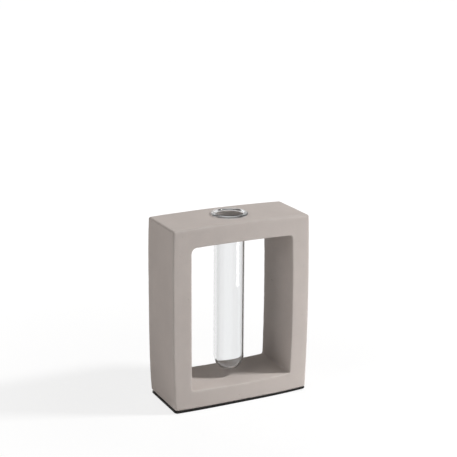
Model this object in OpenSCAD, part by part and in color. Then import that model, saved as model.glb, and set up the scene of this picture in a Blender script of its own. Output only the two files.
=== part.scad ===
// Concrete frame vase: an upright ring of cast concrete with a test tube hanging in its top bar.
// The origin is the centre of the pad's underside. X is the width, the front faces -Y, and Z is up.

/* [Concrete frame] */
// Width of the concrete at its top and bottom ends
frame_w = 119; // [100:0.5:150]
// Depth of the concrete, front to back
frame_d = 50; // [42:0.5:80]
// Height of the concrete at its left and right ends
frame_h = 150; // [120:0.5:200]
// How far each outer side swells out at half height
side_bow = 1.4; // [0.4:0.1:3]
// How far the top face swells up at the middle of its width
top_bow = 1.1; // [0.4:0.1:3]
// Thickness of each side bar at its ends
side_bar_t = 15.2; // [10:0.1:22]
// Thickness of the top bar at its ends
top_bar_t = 15.6; // [10:0.1:22]
// Thickness of the bottom bar
bottom_bar_t = 15.6; // [10:0.1:22]
// Rounding of the outer edges above the base
edge_r = 1.8; // [1:0.1:3]
// Rounding of the outer edges round the base
base_edge_r = 2.6; // [1:0.1:4]
// Rounding of the window's four corners, seen from the front
window_corner_r = 2.6; // [1:0.1:5]
// Rounding of the window's front and back edges
window_edge_r = 1; // [0.5:0.1:1.5]
// Rounding of the tube hole's top and bottom edges
hole_edge_r = 0.5; // [0.3:0.1:0.7]

/* [Glass tube] */
// Outside diameter of the tube
tube_d = 25; // [16:0.5:28]
// Thickness of the glass
tube_wall = 1.3; // [1:0.1:2]
// Height of the rim above the concrete
rim_h = 1.8; // [1.6:0.1:3]
// How far the rim stands out past the tube
rim_lip = 2.4; // [2.2:0.1:3.5]
// Rounding of the rim's outer edges
rim_edge_r = 0.7; // [0.4:0.1:0.8]
// Rounding of the rim's inner edge
rim_mouth_r = 1; // [0.5:0.1:1.4]
// Fillet between the tube and the underside of the rim
rim_fillet_r = 0.5; // [0.3:0.1:0.7]

/* [Fit of the tube] */
// Gap between the tube and the wall of its hole
hole_gap = 0.5; // [0.4:0.1:0.9]
// Gap between the tube's lowest point and the bottom bar
sill_gap = 3.4; // [1:0.1:20]

/* [Base pad] */
// Thickness of the foam pad
pad_t = 1.3; // [1:0.1:4]
// Thickness of the adhesive film
film_t = 0.2; // [0.1:0.05:0.4]
// How far the pad's outline lies inside the concrete's
pad_inset = 0.3; // [0.2:0.1:4]
// Rounding of the pad's corners, seen from above
pad_corner_r = 2.5; // [0.5:0.1:5]

/* [Hidden] */
$fn = 96;
// Extra length by which every cut runs past the surface that it opens
overrun = 1;
// Steps round the full circle of a swollen face, whose radius is over a metre
swell_steps = 1440;

// Levels: the concrete stands on the film, and the film on the pad
frame_z = pad_t + film_t;
bar_underside = frame_z + frame_h - top_bar_t;
frame_top = frame_z + frame_h + top_bow;

// The window between the four bars
window_w = frame_w - 2 * side_bar_t;
window_h = frame_h - top_bar_t - bottom_bar_t;
window_mid_z = frame_z + bottom_bar_t + window_h / 2;

// Each swollen side is an arc from the bottom end to the top end, of this radius
half_h = frame_h / 2;
half_w_middle = frame_w / 2 + side_bow;
side_r = half_h * half_h / (2 * side_bow) + side_bow / 2;
side_half_angle = 2 * asin(half_h / side_r);
// Half the concrete's width at a height above or below its middle
function half_w_at(z) = half_w_middle - side_r + sqrt(side_r * side_r - z * z);
// The swollen top is an arc from end to end, of this radius
half_w = frame_w / 2;
top_r = half_w * half_w / (2 * top_bow) + top_bow / 2;
top_half_angle = 2 * asin(half_w / top_r);
// Height of the top above the middle of the ends' height, at a distance from the middle of its width
function top_at(x) = half_h + top_bow - top_r + sqrt(top_r * top_r - x * x);

// The hole that the tube hangs in
tube_r = tube_d / 2;
bore_r = tube_r - tube_wall;
hole_r = tube_r + hole_gap;
rim_r = tube_r + rim_lip;
// Height of the centre of the tube's round bottom
tube_round_z = frame_z + bottom_bar_t + sill_gap + tube_r;

// A rectangle about the origin with four rounded corners
module rounded_rect(w, h, r) {
    square([w - 2 * r, h], center = true);
    square([w, h - 2 * r], center = true);
    for (x = [-1, 1], y = [-1, 1])
        translate([x * (w / 2 - r), y * (h / 2 - r)]) circle(r);
}

// The upper half of a rectangle of half width w and height h, with its top corners rounded
module rounded_end(w, h, r) {
    translate([r - w, 0]) square([2 * (w - r), h]);
    translate([-w, 0]) square([2 * w, h - r]);
    for (x = [-1, 1])
        translate([x * (w - r), h - r]) circle(r);
}

// What is left of a square corner of side r at the origin when a rounding of radius r is kept
module corner_waste(r) {
    difference() {
        square(r);
        translate([r, r]) circle(r);
    }
}

// A block whose swollen face looks along +X, as a sector of a very large wheel of radius r. The face's middle
// lies at the given reach from the origin, and its front and back edges are rounded.
module swollen_block(reach, depth, r, half_angle) {
    translate([reach - r, 0, 0])
        rotate([90, 0, 0])
            rotate([0, 0, -half_angle])
                rotate_extrude(angle = 2 * half_angle, $fn = swell_steps)
                    translate([r - depth, 0])
                        rotate([0, 0, -90])
                            rounded_end(frame_d / 2, depth, edge_r, $fn = 48);
}

module swollen_side() {
    swollen_block(half_w_middle, 2 * half_w_middle + overrun, side_r, side_half_angle);
}

module swollen_top() {
    rotate([0, -90, 0])
        swollen_block(half_h + top_bow, frame_h + top_bow + overrun, top_r, top_half_angle);
}

// The concrete before it is opened, about the middle of its ends' height
module solid_block() {
    intersection() {
        swollen_side();
        mirror([1, 0, 0]) swollen_side();
        swollen_top();
        rotate([90, 0, 90])
            linear_extrude(2 * half_w_middle + 2 * overrun, center = true) {
                translate([-frame_d / 2, 0]) square([frame_d, half_h + top_bow + overrun]);
                mirror([0, 1]) rounded_end(frame_d / 2, half_h, base_edge_r);
            }
        rotate([90, 0, 0])
            linear_extrude(frame_d + 2 * overrun, center = true) {
                top_profile();
                mirror([0, 1]) base_profile();
            }
    }
}

// The upper half of the front view: it leaves the swollen faces free, and rounds the two corners between them
module top_profile() {
    corner_x = half_w_at(half_h - edge_r) - edge_r;
    corner_z = top_at(corner_x) - edge_r;
    translate([-half_w_middle - overrun, 0])
        square([2 * (half_w_middle + overrun), half_h - edge_r]);
    translate([-corner_x, 0]) square([2 * corner_x, half_h + top_bow + overrun]);
    translate([-corner_x - edge_r, 0]) square([2 * (corner_x + edge_r), corner_z]);
    for (x = [-1, 1])
        translate([x * corner_x, corner_z]) circle(edge_r);
}

// The lower half of the front view, turned over: wide enough for the swollen sides, with its corners rounded
module base_profile() {
    translate([-half_w_middle - overrun, 0])
        square([2 * (half_w_middle + overrun), half_h - base_edge_r]);
    rounded_end(half_w_at(half_h - base_edge_r), half_h, base_edge_r);
}

// A round bar that follows the outline of a rounded rectangle, on the plane Z = 0
module outline_bar(w, h, corner_r, bar_r) {
    for (s = [-1, 1]) {
        translate([0, s * h / 2, 0])
            rotate([0, 90, 0])
                cylinder(r = bar_r, h = w - 2 * corner_r, center = true);
        translate([s * w / 2, 0, 0])
            rotate([90, 0, 0])
                cylinder(r = bar_r, h = h - 2 * corner_r, center = true);
    }
    for (quarter = [0 : 3])
        mirror([quarter % 2, 0, 0])
            mirror([0, floor(quarter / 2), 0])
                translate([w / 2 - corner_r, h / 2 - corner_r, 0])
                    rotate_extrude(angle = 90)
                        translate([corner_r, 0]) circle(bar_r);
}

// The window, lying flat: it runs along Z and flares at both faces
module window_cut() {
    outer_w = window_w + 2 * window_edge_r;
    outer_h = window_h + 2 * window_edge_r;
    outer_r = window_corner_r + window_edge_r;
    linear_extrude(frame_d + 2 * overrun, center = true)
        rounded_rect(window_w, window_h, window_corner_r);
    for (side = [0, 1])
        mirror([0, 0, side])
            translate([0, 0, frame_d / 2 - window_edge_r])
                difference() {
                    linear_extrude(window_edge_r + overrun)
                        rounded_rect(outer_w, outer_h, outer_r);
                    outline_bar(outer_w, outer_h, outer_r, window_edge_r);
                }
}

// The rounding at the end of the tube's hole, opening towards +Z
module hole_mouth() {
    rotate_extrude()
        translate([hole_r, 0])
            mirror([0, 1])
                corner_waste(hole_edge_r);
}

module concrete_frame() {
    color([0.71, 0.67, 0.64])
        difference() {
            translate([0, 0, frame_z + half_h]) solid_block();
            translate([0, 0, window_mid_z]) rotate([90, 0, 0]) window_cut();
            translate([0, 0, bar_underside - overrun])
                cylinder(r = hole_r, h = frame_top - bar_underside + 2 * overrun);
            translate([0, 0, frame_top]) hole_mouth();
            translate([0, 0, bar_underside]) mirror([0, 0, 1]) hole_mouth();
        }
}

// Half the section of the tube's outer surface, with its rim's underside on the concrete
module tube_outer_half() {
    translate([0, tube_round_z]) {
        square([tube_r, frame_top + rim_h - tube_round_z]);
        intersection() {
            circle(tube_r);
            translate([0, -tube_r]) square([tube_r, tube_r]);
        }
    }
    translate([0, frame_top + rim_h / 2]) {
        translate([0, -rim_h / 2]) square([rim_r - rim_edge_r, rim_h]);
        translate([0, rim_edge_r - rim_h / 2]) square([rim_r, rim_h - 2 * rim_edge_r]);
        for (s = [-1, 1])
            translate([rim_r - rim_edge_r, s * (rim_h / 2 - rim_edge_r)]) circle(rim_edge_r);
    }
    translate([tube_r, frame_top]) mirror([0, 1]) corner_waste(rim_fillet_r);
}

// Half the section of the tube's hollow
module tube_inner_half() {
    translate([0, tube_round_z]) {
        square([bore_r, frame_top + rim_h + overrun - tube_round_z]);
        intersection() {
            circle(bore_r);
            translate([0, -bore_r]) square([bore_r, bore_r]);
        }
    }
    translate([bore_r, frame_top + rim_h]) mirror([0, 1]) corner_waste(rim_mouth_r);
}

module glass_tube() {
    color([0.86, 0.92, 0.93, 0.4])
        rotate_extrude()
            difference() {
                tube_outer_half();
                tube_inner_half();
            }
}

// A sheet with the pad's outline
module pad_sheet(thickness) {
    linear_extrude(thickness)
        rounded_rect(frame_w - 2 * pad_inset, frame_d - 2 * pad_inset, pad_corner_r);
}

module base_pad() {
    color([0.06, 0.06, 0.06]) pad_sheet(pad_t);
}

module pad_adhesive() {
    color([0.75, 0.72, 0.6]) translate([0, 0, pad_t]) pad_sheet(film_t);
}

concrete_frame();
glass_tube();
base_pad();
pad_adhesive();
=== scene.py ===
"""A concrete frame vase: a cast ring of concrete, a glass test tube hanging in its top bar, and a pad.

All lengths are in metres, in the solid model's frame: X is the width, the front faces -Y, and Z is up.
"""
import math

import bmesh
import bpy
import numpy as np
from mathutils import Matrix, Vector


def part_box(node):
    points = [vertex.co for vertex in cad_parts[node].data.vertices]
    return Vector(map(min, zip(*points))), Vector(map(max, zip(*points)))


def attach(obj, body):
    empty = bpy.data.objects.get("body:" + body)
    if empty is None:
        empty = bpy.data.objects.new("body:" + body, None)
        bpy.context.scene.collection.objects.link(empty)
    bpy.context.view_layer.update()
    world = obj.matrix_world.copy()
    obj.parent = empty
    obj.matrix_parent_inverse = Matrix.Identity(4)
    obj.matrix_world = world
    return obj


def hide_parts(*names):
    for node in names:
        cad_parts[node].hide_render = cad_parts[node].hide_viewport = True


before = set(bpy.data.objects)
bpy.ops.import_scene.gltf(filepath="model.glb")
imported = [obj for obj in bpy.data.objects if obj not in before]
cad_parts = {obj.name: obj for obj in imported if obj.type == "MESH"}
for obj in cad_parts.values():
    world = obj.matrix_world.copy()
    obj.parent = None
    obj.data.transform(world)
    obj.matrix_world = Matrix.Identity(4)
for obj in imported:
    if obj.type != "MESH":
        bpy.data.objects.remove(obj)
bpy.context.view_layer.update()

MM = 0.001
WHITE = (1.0, 1.0, 1.0, 1.0)

# The concrete ring, whose outside follows the solid
ring_low, ring_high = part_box("concrete_frame")
side_bow = 1.4 * MM
top_bow = 1.1 * MM
ring_half_w = ring_high[0] - side_bow
ring_half_d = ring_high[1]
ring_end_top = ring_high[2] - top_bow
ring_mid_z = (ring_low[2] + ring_end_top) / 2
side_bar = 15.2 * MM
top_bar = 15.6 * MM
bottom_bar = 15.6 * MM
# Rounding of the four corners seen from the front: top right, top left, bottom left, bottom right
outer_corner_r = np.array([1.9, 2.1, 3.2, 1.9]) * MM
window_corner_r = np.array([2.4, 4.4, 1.8, 1.6]) * MM
# Rounding of the edges of the front and back faces: further up, and at the base's left and right end
upper_edge_r = 1.8 * MM
base_edge_left_r = 2.6 * MM
base_edge_right_r = 1.7 * MM
window_edge_r = 1.0 * MM
# How much further than its even swelling the casting stands out at its upper ends
upper_left_full = 0.6 * MM
upper_right_full = 0.25 * MM
# How far the underside rises at its two ends, and the sill at its own
base_rise_left = 0.7 * MM
base_rise_right = 1.4 * MM
sill_rise = 0.5 * MM
# The heights over which the underside's rise and the base's own rounding fade out
base_rise_fade = 40 * MM
base_edge_fade = 12 * MM
# How far each side and each wall of the window swells outwards, and the power of t in the swelling
outer_swelling = {
    "right": (side_bow, 2.0),
    "top": (top_bow, 2.0),
    "left": (side_bow, 3.0),
    "bottom": (0.0, 2.0),
}
window_swelling = {
    "right": (0.95 * MM, 2.0),
    "top": (0.5 * MM, 2.0),
    "left": (0.1 * MM, 2.0),
    "bottom": (1.2 * MM, 2.0),
}

# The unevenness of the cast: the size and depth of its broad and short waves, and of its rubbed edges
broad_wave_size = 38 * MM
broad_wave_depth = 0.07 * MM
short_wave_size = 13 * MM
short_wave_depth = 0.04 * MM
rub_size = 9 * MM
rub_depth = 0.1 * MM
# Nicks stand where noise of their size passes the limit, and are deepest within a height above the base
nick_size = 3.4 * MM
nick_limit = 0.66
nick_depth = 0.102 * MM
base_nick_depth = 0.306 * MM
nicked_base_h = 14 * MM
# How far the wear of an edge and of a corner reaches
edge_reach = 1.6 * MM
corner_reach = 2.5 * MM
# How far round the hole and how deep below the top the cast is calm, and the wear of the hole's edges
calm_reach = 12 * MM
calm_h = 1.4 * top_bar
hole_wear = 0.1

# Steps of the grid: along each upright side, round a corner, from a corner to the square round the
# hole, along that square, through a wall, over an edge and across a face
side_steps = 96
corner_steps = 12
end_steps = 26
square_steps = 30
wall_steps = 40
edge_steps = 7
face_steps = 14
# The square of the grid round the hole: its half width, the rows that it leaves beside it in a wall,
# its own rows, and where it starts in the grid, under the top bar and on it
square_half = 18 * MM
square_margin = 5
square_rows = wall_steps - 2 * square_margin
square_column = side_steps + corner_steps + end_steps
under_row = square_margin
upper_row = under_row + wall_steps + 2 * edge_steps + face_steps
# Rings between that square and the mouth of the hole, and over the mouth's rounded edge
mouth_steps = 8
mouth_edge_steps = 5

# The tube, whose axis is the Z axis
tube_low, tube_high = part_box("glass_tube")
rim_r = tube_high[0]
tube_r = 12.5 * MM
tube_wall = 1.3 * MM
rim_h = 1.8 * MM
mouth_r = 1.5 * MM
under_rim_r = 0.5 * MM
hole_gap = 0.5 * MM
hole_r = tube_r + hole_gap
hole_edge_r = 0.5 * MM
# Steps of the tube: round it, along a wall, and over its bottom, mouth, rim and the fillet below
round_steps = 160
tube_wall_steps = 40
bottom_steps = 28
mouth_arc_steps = 12
rim_arc_steps = 16
fillet_steps = 8

# The pad and its adhesive film, whose ends rise with the ring's underside
pad_low, pad_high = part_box("base_pad")
film_low, film_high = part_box("pad_adhesive")
pad_corner_r = 2.5 * MM
pad_edge_r = 0.2 * MM
film_edge_r = 0.05 * MM
# Half the width that the weight presses flat, and how far pad and film lie off centre
pressed_half_w = 14 * MM
pad_off_centre = 0.3 * MM
# Steps of the two sheets: from the middle to the edge, and over the edge's rounding
sheet_steps = 24
sheet_edge_steps = 5


# Shapes

def value_noise(points, size, seed):
    """Smooth noise from 0 to 1 at an array of points, with lumps of about the given size. Each corner
    of a cubic lattice gets a number from the sine of its place, and the eight corners round a point are
    blended by the smooth step 3t^2 - 2t^3 along each axis."""
    seed_shift = 17.3
    lattice_way = np.array([12.9898, 78.233, 37.719])
    scramble = 43758.5453
    place = points / size + seed * seed_shift
    cell = np.floor(place)
    step = place - cell
    step = step * step * (3 - 2 * step)
    total = np.zeros(place.shape[:-1])
    for corner in np.ndindex(2, 2, 2):
        key = np.sin((cell + corner) @ lattice_way) * scramble
        weight = np.prod(np.where(np.array(corner) == 1, step, 1 - step), axis=-1)
        total += weight * (key - np.floor(key))
    return total


def even(start, end, count):
    """A count of evenly spaced numbers or points from start towards end, without end itself."""
    return np.linspace(start, end, count, endpoint=False)


def grid_faces(rows, columns, first=0, wrap_rows=False):
    """The four-cornered faces of a grid of closed rows, whose points are numbered along the rows,
    starting at first. With wrap_rows the last row also meets the first one."""
    row = np.arange(rows if wrap_rows else rows - 1)
    r, c = np.meshgrid(row, np.arange(columns), indexing="ij")
    r_next = (r + 1) % rows
    c_next = (c + 1) % columns
    corners = (r * columns + c, r * columns + c_next, r_next * columns + c_next, r_next * columns + c)
    return np.stack(corners, axis=-1) + first


def new_object(name, data):
    """An object of the scene, from a mesh, a lamp or a lens."""
    item = bpy.data.objects.new(name, data)
    bpy.context.scene.collection.objects.link(item)
    return item


def new_piece(name, points, faces, body, material, stands_for):
    """A smooth mesh object from arrays of points and four-cornered faces. It rides on a body, and
    stands for a node of the solid model."""
    mesh = bpy.data.meshes.new(name)
    mesh.from_pydata(points.reshape(-1, 3).tolist(), [], faces.reshape(-1, 4).tolist())
    mesh.update()
    mesh.shade_smooth()
    mesh.materials.append(material)
    piece = new_object(name, mesh)
    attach(piece, body)
    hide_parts(stands_for)
    return piece


def weld(piece):
    """Merges points in one place, which closes seams and poles, and turns all faces outwards."""
    same_place = 0.001 * MM
    work = bmesh.new()
    work.from_mesh(piece.data)
    bmesh.ops.remove_doubles(work, verts=work.verts, dist=same_place)
    bmesh.ops.dissolve_degenerate(work, edges=work.edges, dist=same_place)
    bmesh.ops.recalc_face_normals(work, faces=work.faces)
    work.to_mesh(piece.data)
    work.free()
    piece.data.update()


def frame_outline(half_w, low, high, radii, swelling):
    """A closed outline in X and Z and the direction that points out of it, counter-clockwise from the
    foot of the right side. Each side is straight between its two round corners and swells by its height
    times 1 - |t|^p, with t from -1 to 1 along it. The top and bottom have points at both ends of the
    square round the hole, and even steps between them. The radii go counter-clockwise from the top
    right corner."""
    top_right_r, top_left_r, bottom_left_r, bottom_right_r = radii
    top_right = np.array([half_w - top_right_r, high - top_right_r])
    top_left = np.array([top_left_r - half_w, high - top_left_r])
    bottom_left = np.array([bottom_left_r - half_w, low + bottom_left_r])
    bottom_right = np.array([half_w - bottom_right_r, low + bottom_right_r])
    marks = np.linspace(-square_half, square_half, square_steps + 1)

    def corner(centre, radius, first_angle):
        """A quarter circle round the corner's centre, from its first angle in degrees."""
        angle = np.radians(even(first_angle, first_angle + 90.0, corner_steps))
        way = np.stack([np.cos(angle), np.sin(angle)], axis=-1)
        return centre + radius * way, way

    def side(name, start, end, way, share):
        """Points at shares of the way from start to end, moved out by the swelling."""
        start, end, way = np.array(start), np.array(end), np.array(way)
        height, power = swelling[name]
        swell = height * (1 - np.abs(2 * share - 1) ** power)
        places = start + (end - start) * share[:, None] + swell[:, None] * way
        return places, np.repeat(way[None, :], len(share), axis=0)

    def marked(start, end):
        """Shares along a horizontal side that pass through the marks, on the way from start to end."""
        inner = marks if end > start else marks[::-1]
        before = even(start, inner[0], end_steps)
        after = even(inner[-1], end, end_steps)
        x = np.concatenate([before, inner[:-1], after])
        return (x - start) / (end - start)

    upright = even(0.0, 1.0, side_steps)
    over = marked(top_right[0], top_left[0])
    under = marked(bottom_left[0], bottom_right[0])
    parts = [
        side("right", (half_w, bottom_right[1]), (half_w, top_right[1]), (1.0, 0.0), upright),
        corner(top_right, top_right_r, 0.0),
        side("top", (top_right[0], high), (top_left[0], high), (0.0, 1.0), over),
        corner(top_left, top_left_r, 90.0),
        side("left", (-half_w, top_left[1]), (-half_w, bottom_left[1]), (-1.0, 0.0), upright),
        corner(bottom_left, bottom_left_r, 180.0),
        side("bottom", (bottom_left[0], low), (bottom_right[0], low), (0.0, -1.0), under),
        corner(bottom_right, bottom_right_r, 270.0),
    ]
    places, ways = zip(*parts)
    return np.concatenate(places), np.concatenate(ways)


def underside_rise(x):
    """How far the ring's underside has risen at x: the rise of that end times |x / half width|^3."""
    return np.where(x > 0, base_rise_right, base_rise_left) * np.abs(x / ring_half_w) ** 3


def section_rows():
    """How the ring's section runs, once round: each row has its share of the way from the window's
    outline to the outer one, its share of the edge rounding, and its two shares in Y, of the flat half
    depth and of the rounding. Each of the four comes as a column."""
    quarter = np.radians(even(0.0, 90.0, edge_steps))
    cos, sin = np.cos(quarter), np.sin(quarter)
    no_edge, full_edge = np.zeros(edge_steps), np.ones(edge_steps)
    to_front = even(1.0, -1.0, wall_steps)
    to_back = even(-1.0, 1.0, wall_steps)
    no_wall, full_wall = np.zeros(wall_steps), np.ones(wall_steps)
    across = even(0.0, 1.0, face_steps)
    face = np.ones(face_steps)
    rows = [
        (no_wall, no_wall, to_front, no_wall),
        (no_edge, 1 - cos, -full_edge, -sin),
        (across, face, -face, -face),
        (full_edge, 1 - sin, -full_edge, -cos),
        (full_wall, no_wall, to_back, no_wall),
        (full_edge, 1 - cos, full_edge, sin),
        (1 - across, face, face, face),
        (no_edge, 1 - sin, full_edge, cos),
    ]
    return [np.concatenate(shares)[:, None] for shares in zip(*rows)]


def ring_surface():
    """The ring's grid without its hole: the section, a rounded rectangle between the window's outline
    and the outer one, carried round both outlines at once. Gives the points and the two outlines."""
    low, high = ring_low[2], ring_end_top
    outer, outer_way = frame_outline(ring_half_w, low, high, outer_corner_r, outer_swelling)
    sill = low + bottom_bar + sill_rise
    inner, inner_way = frame_outline(
        ring_half_w - side_bar, sill, high - top_bar, window_corner_r, window_swelling)
    # The upper ends stand out further, growing with the square of the height above the middle
    upper = np.clip((outer[:, 1] - ring_mid_z) / (high - ring_mid_z), 0, 1) ** 2
    to_end = np.clip((np.abs(outer[:, 0]) - square_half) / (ring_half_w - square_half), 0, 1)
    outer[:, 0] += upper * to_end * np.where(outer[:, 0] > 0, upper_right_full, -upper_left_full)
    # The underside's rise fades out over the lower part of the sides
    fade = np.clip(1 - (outer[:, 1] - low) / base_rise_fade, 0, 1)
    outer[:, 1] += fade * underside_rise(outer[:, 0])
    # Towards the base the rounding grows at the left end, and hardly changes at the right one
    height_share = np.clip((outer[:, 1] - low) / base_edge_fade, 0, 1)
    right_share = np.clip(0.5 + outer[:, 0] / (2 * ring_half_w), 0, 1)
    base_edge = base_edge_left_r + (base_edge_right_r - base_edge_left_r) * right_share
    outer_edge = base_edge + (upper_edge_r - base_edge) * height_share
    # Each row of the section takes its place between the two outlines
    out_share, round_share, flat_y, round_y = section_rows()
    edge = (1 - out_share) * window_edge_r + out_share * outer_edge
    place_in = inner + (round_share * window_edge_r)[..., None] * inner_way
    place_out = outer - (round_share * outer_edge)[..., None] * outer_way
    place = (1 - out_share[..., None]) * place_in + out_share[..., None] * place_out
    y = flat_y * (ring_half_d - edge) + round_y * edge
    return np.stack([place[..., 0], y, place[..., 1]], axis=-1), outer, inner


def edge_nearness(points, outer, inner):
    """How near each point is to an edge or corner, from 0 to 1: exp(-(distance / reach)^2)."""
    out_share, round_share, flat_y, round_y = section_rows()
    bar = np.linalg.norm(outer - inner, axis=-1)
    to_face_edge = np.minimum(out_share, 1 - out_share) * bar
    to_side_edge = (1 - np.abs(flat_y)) * ring_half_d
    on_face = (np.abs(round_y) == 1) & (round_share == 1)
    to_edge = np.where(on_face, to_face_edge, to_side_edge)
    ends = (-ring_half_w, ring_half_w)
    corners = np.array([[x, z] for x in ends for z in (ring_low[2], ring_high[2])])
    to_corner = np.linalg.norm(points[:, :, None, [0, 2]] - corners, axis=-1).min(axis=-1)
    return np.maximum(np.exp(-(to_edge / edge_reach) ** 2), np.exp(-(to_corner / corner_reach) ** 2))


def cast_unevenness(points, nearness):
    """How far the surface lies back from its mould: two broad waves of noise all over, and along the
    edges a rubbed hollow and small nicks. All fade out round the hole, where the rim rests."""
    waves = broad_wave_depth * value_noise(points, broad_wave_size, seed=1)
    waves += short_wave_depth * value_noise(points, short_wave_size, seed=2)
    rub = rub_depth * value_noise(points, rub_size, seed=4)
    past_limit = value_noise(points, nick_size, seed=3) - nick_limit
    nicked = np.clip(past_limit / (1 - nick_limit), 0, 1)
    low_share = np.clip(1 - (points[..., 2] - ring_low[2]) / nicked_base_h, 0, 1)
    nicks = nicked * (nick_depth + (base_nick_depth - nick_depth) * low_share)
    calm = np.clip((np.hypot(points[..., 0], points[..., 1]) - hole_r) / calm_reach, 0, 1)
    in_top = points[..., 2] > ring_high[2] - calm_h
    return (waves + nearness * (rub + nicks)) * np.where(in_top, calm, 1.0)


def outward_ways(points):
    """Directions out of a grid that is closed both ways, from its own slopes."""
    no_length = 1e-12
    along = np.roll(points, -1, axis=1) - np.roll(points, 1, axis=1)
    across = np.roll(points, -1, axis=0) - np.roll(points, 1, axis=0)
    way = np.cross(across, along)
    return way / np.maximum(np.linalg.norm(way, axis=-1, keepdims=True), no_length)


def square_loop(points, number, row):
    """The numbers of the points round a square of the grid, in order of their angle round the hole, and
    those angles. The square starts at the given row."""
    box = number[row:row + square_rows + 1, square_column:square_column + square_steps + 1]
    loop = np.concatenate([box[0, :-1], box[:-1, -1], box[-1, :0:-1], box[:0:-1, 0]])
    angle = np.arctan2(points[loop, 1], points[loop, 0])
    order = np.argsort(angle)
    return loop[order], angle[order]


def mouth_rings(square, way, level, into_hole):
    """Rings from the points of a square to the mouth of the hole, and over its rounded edge. The mouth
    lies at the given level, and the hole runs down from it if into_hole is -1, and up if it is 1."""
    mouth = way * (hole_r + hole_edge_r) + np.array([0, 0, level])
    share = np.linspace(0, 1, mouth_steps)[:, None, None]
    flat_rings = square * (1 - share) + mouth * share
    turn = np.radians(np.linspace(0, 90, mouth_edge_steps + 1)[1:])[:, None, None]
    over = way * (hole_r + hole_edge_r * (1 - np.sin(turn)))
    over = over + np.array([0, 0, 1]) * (level + into_hole * hole_edge_r * (1 - np.cos(turn)))
    return np.concatenate([flat_rings, over])


def concrete_ring(material):
    """The cast ring. Its grid is set back by the unevenness of the cast, and the round hole in the top
    bar is let into a square of the grid above and below."""
    grid, outer, inner = ring_surface()
    nearness = edge_nearness(grid, outer, inner)
    grid -= outward_ways(grid) * cast_unevenness(grid, nearness)[..., None]
    rows, columns = grid.shape[:2]
    points = grid.reshape(-1, 3)
    number = np.arange(len(points)).reshape(rows, columns)

    # The squares round the hole lose their faces
    keep = np.ones((rows, columns), bool)
    for row in (under_row, upper_row):
        keep[row:row + square_rows, square_column:square_column + square_steps] = False
    faces = grid_faces(rows, columns, wrap_rows=True)[keep]

    upper, angle = square_loop(points, number, upper_row)
    lower, _ = square_loop(points, number, under_row)
    way = np.stack([np.cos(angle), np.sin(angle), np.zeros(len(angle))], axis=-1)
    under_level = ring_end_top - top_bar + window_swelling["top"][0]
    down = mouth_rings(points[upper], way, ring_high[2], -1)
    up = mouth_rings(points[lower], way, under_level, 1)
    hole = np.concatenate([down, up[::-1]])
    hole_faces = grid_faces(len(hole), len(angle), first=len(points))
    hole_points = hole.reshape(-1, 3)

    all_points = np.concatenate([points, hole_points])
    all_faces = np.concatenate([faces, hole_faces.reshape(-1, 4)])
    piece = new_piece(
        "cast_ring", all_points, all_faces, "frame", material, "concrete_frame")
    wear = np.concatenate([nearness.reshape(-1), np.full(len(hole_points), hole_wear)])
    layer = piece.data.attributes.new("edge_wear", "FLOAT", "POINT")
    layer.data.foreach_set("value", wear.astype(np.float32))
    weld(piece)


def arc(centre_r, centre_z, radius, start, end, count):
    """Points along an arc in the plane of a profile, from one angle in degrees to another."""
    angle = np.radians(np.linspace(start, end, count))
    return np.stack([centre_r + radius * np.cos(angle), centre_z + radius * np.sin(angle)], axis=-1)


def lathe(profile, steps):
    """A surface of revolution about Z: each point of the profile, given as radius and height, is
    carried round a full circle in equal steps."""
    angle = even(0.0, 2 * math.pi, steps)
    r, z = profile[:, 0][:, None], profile[:, 1][:, None]
    points = np.stack(np.broadcast_arrays(r * np.cos(angle), r * np.sin(angle), z), axis=-1)
    return points, grid_faces(len(profile), steps)


def test_tube(material):
    """The glass tube: a profile of arcs and straight walls, turned about Z. It runs from the middle of
    the inside up the inner wall, over the flared rim, and down the outer wall to the bottom's middle."""
    top_z = tube_high[2]
    seat_z = top_z - rim_h
    bend_z = tube_low[2] + tube_r
    bore_r = tube_r - tube_wall
    bead_r = rim_h / 2
    # The inner wall starts just above the end of the bottom's arc
    first_rise = 0.5 * MM
    profile = np.concatenate([
        arc(0.0, bend_z, bore_r, -90, 0, bottom_steps),
        even((bore_r, bend_z + first_rise), (bore_r, top_z - mouth_r), tube_wall_steps),
        arc(bore_r + mouth_r, top_z - mouth_r, mouth_r, 180, 90, mouth_arc_steps),
        arc(rim_r - bead_r, seat_z + bead_r, bead_r, 90, -90, rim_arc_steps),
        arc(tube_r + under_rim_r, seat_z - under_rim_r, under_rim_r, 90, 180, fillet_steps),
        even((tube_r, seat_z - 2 * under_rim_r), (tube_r, bend_z), tube_wall_steps),
        arc(0.0, bend_z, tube_r, 0, -90, bottom_steps),
    ])
    points, faces = lathe(profile, round_steps)
    piece = new_piece("test_tube", points, faces, "tube", material, "glass_tube")
    weld(piece)


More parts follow.
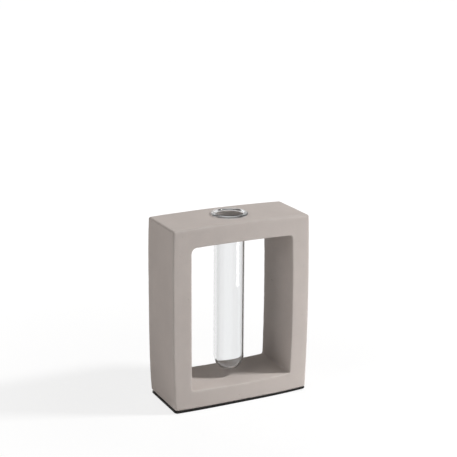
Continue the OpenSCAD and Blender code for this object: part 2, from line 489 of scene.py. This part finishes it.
def base_sheet(low, high, edge_r):
    """The points and faces of a flat sheet under the ring: a rounded rectangle, shrunk towards its
    middle for the two faces, with a rounded edge. Each row is the outline at its own size and height."""
    straight = dict.fromkeys(outer_swelling, (0.0, 2.0))
    outline, way = frame_outline(high[0], low[1], high[1], np.full(4, pad_corner_r), straight)
    thick = high[2] - low[2]
    turn = np.radians(np.linspace(0, 90, sheet_edge_steps))
    inset = np.concatenate([edge_r * (1 - np.sin(turn)), edge_r * (1 - np.cos(turn))])
    level = np.concatenate([edge_r * (1 - np.cos(turn)), thick - edge_r * (1 - np.sin(turn))])
    shares = even(0, 1, sheet_steps)[:, None, None]
    under = shares * (outline - edge_r * way)
    under = np.concatenate([under, np.zeros(under.shape[:2] + (1,))], axis=-1)
    over = under[::-1] + np.array([0, 0, thick])
    edge = outline - inset[:, None, None] * way
    edge = np.concatenate([edge, np.broadcast_to(level[:, None, None], edge.shape[:2] + (1,))], axis=-1)
    points = np.concatenate([under, edge, over]) + np.array([pad_off_centre, 0, low[2]])
    return points, grid_faces(len(points), len(outline))


def foam_pad(material):
    """The black foam pad, stuck to the underside of the ring. Its upper face follows the ring's, and
    its lower face stays flat as far out as the weight presses it to the table."""
    points, faces = base_sheet(pad_low, pad_high, pad_edge_r)
    rise = underside_rise(points[..., 0])
    under_rise = np.maximum(rise - underside_rise(pressed_half_w), 0)
    up_share = (points[..., 2] - pad_low[2]) / (pad_high[2] - pad_low[2])
    points[..., 2] += up_share * rise + (1 - up_share) * under_rise
    piece = new_piece("foam_pad", points, faces, "frame", material, "base_pad")
    weld(piece)


def film_sheet(material):
    """The thin adhesive film between the pad and the ring, which follows the ring's underside."""
    points, faces = base_sheet(film_low, film_high, film_edge_r)
    points[..., 2] += underside_rise(points[..., 0])
    piece = new_piece("film_sheet", points, faces, "frame", material, "pad_adhesive")
    weld(piece)


# Finishes

def feed(tree, socket, value):
    """Links an input to another node's output, or sets it to a plain value."""
    if isinstance(value, bpy.types.NodeSocket):
        tree.links.new(value, socket)
    else:
        socket.default_value = value


def add_node(tree, kind, inputs=None, **settings):
    """A node with its settings, and with its inputs set or linked by name or number."""
    node = tree.nodes.new(kind)
    for key, value in settings.items():
        setattr(node, key, value)
    for key, value in (inputs or {}).items():
        feed(tree, node.inputs[key], value)
    return node


def math_node(tree, operation, first, second):
    """The result of one operation on two values."""
    return add_node(tree, "ShaderNodeMath", {0: first, 1: second}, operation=operation).outputs[0]


def spread(tree, value, low=0.0, high=1.0, new_low=0.0, new_high=1.0):
    """A value moved from one range to another, and held inside the new one."""
    inputs = {"Value": value, "From Min": low, "From Max": high, "To Min": new_low, "To Max": new_high}
    return add_node(tree, "ShaderNodeMapRange", inputs).outputs[0]


def noise(tree, place, per_metre, detail, roughness):
    """Noise whose lumps are about one part in per_metre of a metre across."""
    inputs = {"Vector": place, "Scale": per_metre, "Detail": detail, "Roughness": roughness}
    return add_node(tree, "ShaderNodeTexNoise", inputs).outputs["Fac"]


def blend_colours(tree, share, first, second):
    """A mix of two colours by a share."""
    node = add_node(tree, "ShaderNodeMix", data_type="RGBA")
    for key, value in (("Factor", share), ("A", first), ("B", second)):
        socket = [i for i in node.inputs if i.name == key and i.enabled][0]
        feed(tree, socket, value)
    return [o for o in node.outputs if o.enabled][0]


def tinted(tree, colour, tint, mask, amount):
    """A colour with a tint laid over it where the mask is 1, as strongly as the amount says."""
    return blend_colours(tree, math_node(tree, "MULTIPLY", mask, amount), colour, tint)


def bumped(tree, height, depth, strength, normal=None):
    """A normal from a height, which counts for the given depth in metres."""
    inputs = {"Height": height, "Distance": depth, "Strength": strength}
    if normal is not None:
        inputs["Normal"] = normal
    return add_node(tree, "ShaderNodeBump", inputs).outputs[0]


def new_group(name, numbers, results):
    """An empty node group, with what it is given and what it puts out. It is given a place and the named
    numbers, and puts out the named results, which are numbers too."""
    group = bpy.data.node_groups.new(name, "ShaderNodeTree")
    group.interface.new_socket("Place", in_out="INPUT", socket_type="NodeSocketVector")
    for label in numbers:
        group.interface.new_socket(label, in_out="INPUT", socket_type="NodeSocketFloat")
    for label in results:
        group.interface.new_socket(label, in_out="OUTPUT", socket_type="NodeSocketFloat")
    return group, group.nodes.new("NodeGroupInput").outputs, group.nodes.new("NodeGroupOutput").inputs


def speckle_group():
    """Fine grain at two sizes: a mask from 0 to 1, and a height."""
    coarse_to_fine = 0.31
    fine_weight, coarse_weight = 0.6, 0.4
    group, given, result = new_group("fine_grain", ["Grains per Metre"], ["Mask", "Height"])
    place, rate = given["Place"], given["Grains per Metre"]
    coarse_rate = math_node(group, "MULTIPLY", rate, coarse_to_fine)
    fine = noise(group, place, rate, detail=2.0, roughness=0.6)
    coarse = noise(group, place, coarse_rate, detail=2.0, roughness=0.5)
    fine_part = math_node(group, "MULTIPLY", fine, fine_weight)
    coarse_part = math_node(group, "MULTIPLY", coarse, coarse_weight)
    both = math_node(group, "ADD", fine_part, coarse_part)
    group.links.new(spread(group, both, low=0.38, high=0.62), result["Mask"])
    group.links.new(both, result["Height"])
    return group


def pinhole_group():
    """Scattered round pits of mixed size: the mask is 1 in a pit. A pit stands in each cell of a mosaic
    whose random number passes the limit, and its size follows that number."""
    smallest_share = 0.35
    flat_middle = 0.55
    group, given, result = new_group("pinholes", ["Cells per Metre", "Share", "Pit Size"], ["Mask"])
    cells = {"Vector": given["Place"], "Scale": given["Cells per Metre"]}
    mosaic = add_node(group, "ShaderNodeTexVoronoi", cells).outputs
    number = add_node(group, "ShaderNodeSeparateColor", {0: mosaic["Color"]}).outputs[0]
    limit = math_node(group, "SUBTRACT", 1.0, given["Share"])
    chosen = math_node(group, "GREATER_THAN", number, limit)
    size_share = spread(group, number, low=limit, new_low=smallest_share)
    size = math_node(group, "MULTIPLY", given["Pit Size"], size_share)
    from_middle = math_node(group, "DIVIDE", mosaic["Distance"], size)
    pit = spread(group, from_middle, low=flat_middle, new_low=1.0, new_high=0.0)
    group.links.new(math_node(group, "MULTIPLY", pit, chosen), result["Mask"])
    return group


def placed_grain(tree, grain, place, per_metre):
    """The mask and the height of the fine grain, set in a material at its own rate."""
    inputs = {"Place": place, "Grains per Metre": per_metre}
    node = add_node(tree, "ShaderNodeGroup", inputs, node_tree=grain)
    return node.outputs["Mask"], node.outputs["Height"]


def placed_pits(tree, pinholes, place, per_metre, share, size):
    """The mask of the pinholes, set in a material with their own cells, share of cells and size."""
    inputs = {"Place": place, "Cells per Metre": per_metre, "Share": share, "Pit Size": size}
    return add_node(tree, "ShaderNodeGroup", inputs, node_tree=pinholes).outputs["Mask"]


def new_material(name):
    """An empty material with its shader, its output, and the object's own coordinates."""
    material = bpy.data.materials.new(name)
    material.use_nodes = True
    tree = material.node_tree
    tree.nodes.clear()
    shader = tree.nodes.new("ShaderNodeBsdfPrincipled")
    output = tree.nodes.new("ShaderNodeOutputMaterial")
    tree.links.new(shader.outputs[0], output.inputs["Surface"])
    place = tree.nodes.new("ShaderNodeTexCoord").outputs["Object"]
    return material, tree, shader, place


def concrete_finish(grain, pinholes):
    """Fine cast concrete: a warm grey with faint clouds, sand grain and rubbed edges, and pinholes
    darkened with painted shade.
    """
    dark_cloud = (0.458, 0.410, 0.383, 1)
    pale_cloud = (0.500, 0.449, 0.419, 1)
    patch_tint = (0.441, 0.400, 0.378, 1)
    grain_tint = (0.56, 0.51, 0.48, 1)
    rubbed_tint = (0.57, 0.53, 0.50, 1)
    # Painted shade for the hollows of the pinholes
    pit_shade_tint = (0.20, 0.18, 0.165, 1)
    material, tree, shader, place = new_material("cast_concrete")
    wear = add_node(tree, "ShaderNodeAttribute", attribute_name="edge_wear").outputs["Fac"]
    speck, grain_height = placed_grain(tree, grain, place, per_metre=2600.0)
    small_pits = placed_pits(tree, pinholes, place, per_metre=420.0, share=0.1, size=0.16)
    large_pits = placed_pits(tree, pinholes, place, per_metre=110.0, share=0.05, size=0.085)
    pits = math_node(tree, "MAXIMUM", small_pits, large_pits)
    clouds = spread(tree, noise(tree, place, 24.0, detail=4.0, roughness=0.6), low=0.32, high=0.68)
    patches = spread(tree, noise(tree, place, 90.0, detail=3.0, roughness=0.6), low=0.35, high=0.65)
    rubbed = math_node(tree, "MULTIPLY", wear, patches)
    colour = blend_colours(tree, clouds, dark_cloud, pale_cloud)
    colour = tinted(tree, colour, patch_tint, mask=patches, amount=0.35)
    colour = tinted(tree, colour, grain_tint, mask=speck, amount=0.12)
    colour = tinted(tree, colour, rubbed_tint, mask=rubbed, amount=0.22)
    # Painted shade: the pinholes are darkened in the colour, as if their hollows lay in shadow
    colour = tinted(tree, colour, pit_shade_tint, mask=pits, amount=0.55)
    tree.links.new(colour, shader.inputs["Base Color"])
    tree.links.new(spread(tree, speck, new_low=0.82, new_high=0.95), shader.inputs["Roughness"])
    shader.inputs["Specular IOR Level"].default_value = 0.35
    sand = noise(tree, place, 260.0, detail=3.0, roughness=0.5)
    relief = bumped(tree, grain_height, depth=0.10 * MM, strength=0.5)
    relief = bumped(tree, sand, depth=0.12 * MM, strength=0.6, normal=relief)
    not_pits = math_node(tree, "SUBTRACT", 1.0, pits)
    relief = bumped(tree, not_pits, depth=0.5 * MM, strength=0.9, normal=relief)
    tree.links.new(relief, shader.inputs["Normal"])
    return material


def glass_finish(grain):
    """Clear glass with the faintest drawn ripple, and a trace of dust where it was handled."""
    glass_tint = (0.975, 0.978, 0.98, 1)
    depth_tint = (0.84, 0.845, 0.85, 1)
    long_ripple = (1.0, 1.0, 0.12)
    material, tree, shader, place = new_material("clear_glass")
    shader.inputs["Base Color"].default_value = glass_tint
    shader.inputs["Transmission Weight"].default_value = 1.0
    shader.inputs["IOR"].default_value = 1.47
    absorption = add_node(tree, "ShaderNodeVolumeAbsorption", {"Color": depth_tint, "Density": 260.0})
    tree.links.new(absorption.outputs[0], tree.get_output_node("ALL").inputs["Volume"])
    speck, _ = placed_grain(tree, grain, place, per_metre=900.0)
    smears = spread(tree, noise(tree, place, 70.0, detail=3.0, roughness=0.6), low=0.5, high=0.75)
    dusty = math_node(tree, "MULTIPLY", smears, speck)
    tree.links.new(spread(tree, dusty, new_low=0.01, new_high=0.07), shader.inputs["Roughness"])
    stretched = add_node(tree, "ShaderNodeMapping", {"Vector": place, "Scale": long_ripple}).outputs[0]
    ripple = noise(tree, stretched, 160.0, detail=1.0, roughness=0.4)
    tree.links.new(bumped(tree, ripple, depth=0.02 * MM, strength=0.35), shader.inputs["Normal"])
    return material


def foam_finish(grain, pinholes):
    """Black closed-cell foam with open cells on its cut face, which are darkened with painted shade."""
    dark_foam = (0.0045, 0.004, 0.0035, 1)
    pale_foam = (0.011, 0.010, 0.009, 1)
    # Painted shade for the hollows of the open cells
    open_cell_shade = (0.002, 0.002, 0.002, 1)
    material, tree, shader, place = new_material("black_foam")
    speck, grain_height = placed_grain(tree, grain, place, per_metre=1800.0)
    cells = placed_pits(tree, pinholes, place, per_metre=2200.0, share=0.5, size=0.4)
    colour = blend_colours(tree, speck, dark_foam, pale_foam)
    # Painted shade: the open cells are darkened in the colour
    colour = blend_colours(tree, cells, colour, open_cell_shade)
    tree.links.new(colour, shader.inputs["Base Color"])
    tree.links.new(spread(tree, speck, new_low=0.75, new_high=0.95), shader.inputs["Roughness"])
    shader.inputs["Specular IOR Level"].default_value = 0.12
    relief = bumped(tree, grain_height, depth=0.08 * MM, strength=0.7)
    walls = math_node(tree, "SUBTRACT", 1.0, cells)
    relief = bumped(tree, walls, depth=0.12 * MM, strength=0.8, normal=relief)
    tree.links.new(relief, shader.inputs["Normal"])
    return material


def film_finish(grain):
    """The black adhesive film, faintly glossy, of which only the thin edge shows."""
    dark_film = (0.005, 0.0045, 0.004, 1)
    pale_film = (0.012, 0.011, 0.010, 1)
    material, tree, shader, place = new_material("adhesive_film")
    speck, grain_height = placed_grain(tree, grain, place, per_metre=1200.0)
    tree.links.new(blend_colours(tree, speck, dark_film, pale_film), shader.inputs["Base Color"])
    tree.links.new(spread(tree, speck, new_low=0.35, new_high=0.55), shader.inputs["Roughness"])
    tree.links.new(bumped(tree, grain_height, depth=0.02 * MM, strength=0.4), shader.inputs["Normal"])
    return material


# Floor, background and light

def light_path(tree):
    """How the current ray reached the surface: 1 for a ray straight from the camera, and 1 for one that
    came by a reflection or through glass."""
    path = add_node(tree, "ShaderNodeLightPath").outputs
    mirrored = math_node(tree, "MAXIMUM", path["Is Glossy Ray"], path["Is Transmission Ray"])
    return path["Is Camera Ray"], mirrored


def white_floor():
    """A wide, plain white floor. The camera sees it as a pale glow under soft light, which keeps the
    object's shadow and fades to plain white further out. Reflections and glass show it plain white."""
    half = 9.0
    fade_from, fade_to = 0.12, 0.9
    glow_near, glow_far = 0.8, 1.0
    lit_share_seen, lit_share = 0.2, 0.86
    corners = [(-half, -half, 0), (half, -half, 0), (half, half, 0), (-half, half, 0)]
    mesh = bpy.data.meshes.new("floor")
    mesh.from_pydata(corners, [], [(0, 1, 2, 3)])
    material, tree, shader, place = new_material("white_floor")
    straight, mirrored = light_path(tree)
    lit = spread(tree, straight, new_low=lit_share, new_high=lit_share_seen)
    tree.links.new(lit, shader.inputs["Base Color"])
    shader.inputs["Roughness"].default_value = 1.0
    shader.inputs["Specular IOR Level"].default_value = 0.0
    shader.inputs["Emission Color"].default_value = WHITE
    distance = add_node(tree, "ShaderNodeVectorMath", {0: place}, operation="LENGTH").outputs["Value"]
    glow = spread(tree, distance, fade_from, fade_to, glow_near, glow_far)
    tree.links.new(math_node(tree, "MULTIPLY", straight, glow), shader.inputs["Emission Strength"])
    plain = add_node(tree, "ShaderNodeEmission", {"Color": WHITE, "Strength": 1.0}).outputs[0]
    choice = add_node(tree, "ShaderNodeMixShader", {0: mirrored, 1: shader.outputs[0], 2: plain})
    tree.links.new(choice.outputs[0], tree.get_output_node("ALL").inputs["Surface"])
    mesh.materials.append(material)
    floor = new_object("floor", mesh)


def white_room():
    """The surroundings: plain white where they are seen, and no light from them."""
    world = bpy.data.worlds.new("white_room")
    bpy.context.scene.world = world
    world.use_nodes = True
    tree = world.node_tree
    tree.nodes.clear()
    straight, mirrored = light_path(tree)
    seen = math_node(tree, "MAXIMUM", straight, mirrored)
    back = add_node(tree, "ShaderNodeBackground", {"Color": WHITE, "Strength": seen})
    output = tree.nodes.new("ShaderNodeOutputWorld")
    tree.links.new(back.outputs[0], output.inputs["Surface"])


def softbox(name, place, size, power, colour=(1.0, 1.0, 1.0), through_glass=False):
    """A square soft lamp that faces the middle of the ring. The camera does not see the lamp itself, and
    glass lets its light through only where that is asked for."""
    light = bpy.data.lights.new(name, "AREA")
    light.shape = "SQUARE"
    light.size = size
    light.energy = power
    light.color = colour
    lamp = new_object(name, light)
    lamp.visible_camera = False
    lamp.visible_transmission = through_glass
    lamp.location = place
    to_ring = Vector((0.0, 0.0, ring_mid_z)) - Vector(place)
    lamp.rotation_euler = to_ring.to_track_quat("-Z", "Y").to_euler()


def photograph_camera():
    """The camera of the photograph, from a fit to the edges of the ring: its angles, its distance, and
    how far the point that it looks at lies from the middle of the ring, to the right and up."""
    azimuth = math.radians(-26.394)
    elevation = math.radians(15.751)
    roll = math.radians(0.339)
    distance = 1.0088
    aim_right, aim_up = -0.00066, 0.06175
    focal_pixels, frame_pixels = 1236.6, 457
    level = np.array([math.sin(azimuth), -math.cos(azimuth), 0.0])
    back = level * math.cos(elevation) + np.array([0.0, 0.0, math.sin(elevation)])
    right = np.array([math.cos(azimuth), math.sin(azimuth), 0.0])
    up = np.cross(back, right)
    eye = np.array([0.0, 0.0, ring_mid_z]) + right * aim_right + up * aim_up + back * distance
    turned_right = right * math.cos(roll) + up * math.sin(roll)
    turned_up = up * math.cos(roll) - right * math.sin(roll)
    lens = bpy.data.cameras.new("camera")
    lens.sensor_width = 36.0
    lens.lens = focal_pixels * lens.sensor_width / frame_pixels
    lens.clip_end = 50.0
    camera = new_object("camera", lens)
    axes = np.eye(4)
    axes[:3] = np.stack([turned_right, turned_up, back, eye], axis=-1)
    camera.matrix_world = Matrix(axes.tolist())
    bpy.context.scene.camera = camera


# The object
grain = speckle_group()
pinholes = pinhole_group()
concrete_ring(concrete_finish(grain, pinholes))
test_tube(glass_finish(grain))
foam_pad(foam_finish(grain, pinholes))
film_sheet(film_finish(grain))

# The scene round it
photograph_camera()
white_floor()
white_room()
softbox("key_light", (0.990, -0.504, 1.230), size=0.2, power=23.4, through_glass=True)
softbox("low_front_fill", (0.190, -0.230, 0.050), size=0.1, power=0.245)
softbox("left_fill", (-1.023, -0.180, 0.677), size=0.8, power=4.9, colour=(1.0, 0.975, 0.955))
softbox("back_fill", (0.0, 1.039, 0.677), size=0.8, power=3.4, colour=(1.0, 0.98, 0.955))
bpy.context.scene.view_settings.view_transform = "Standard"
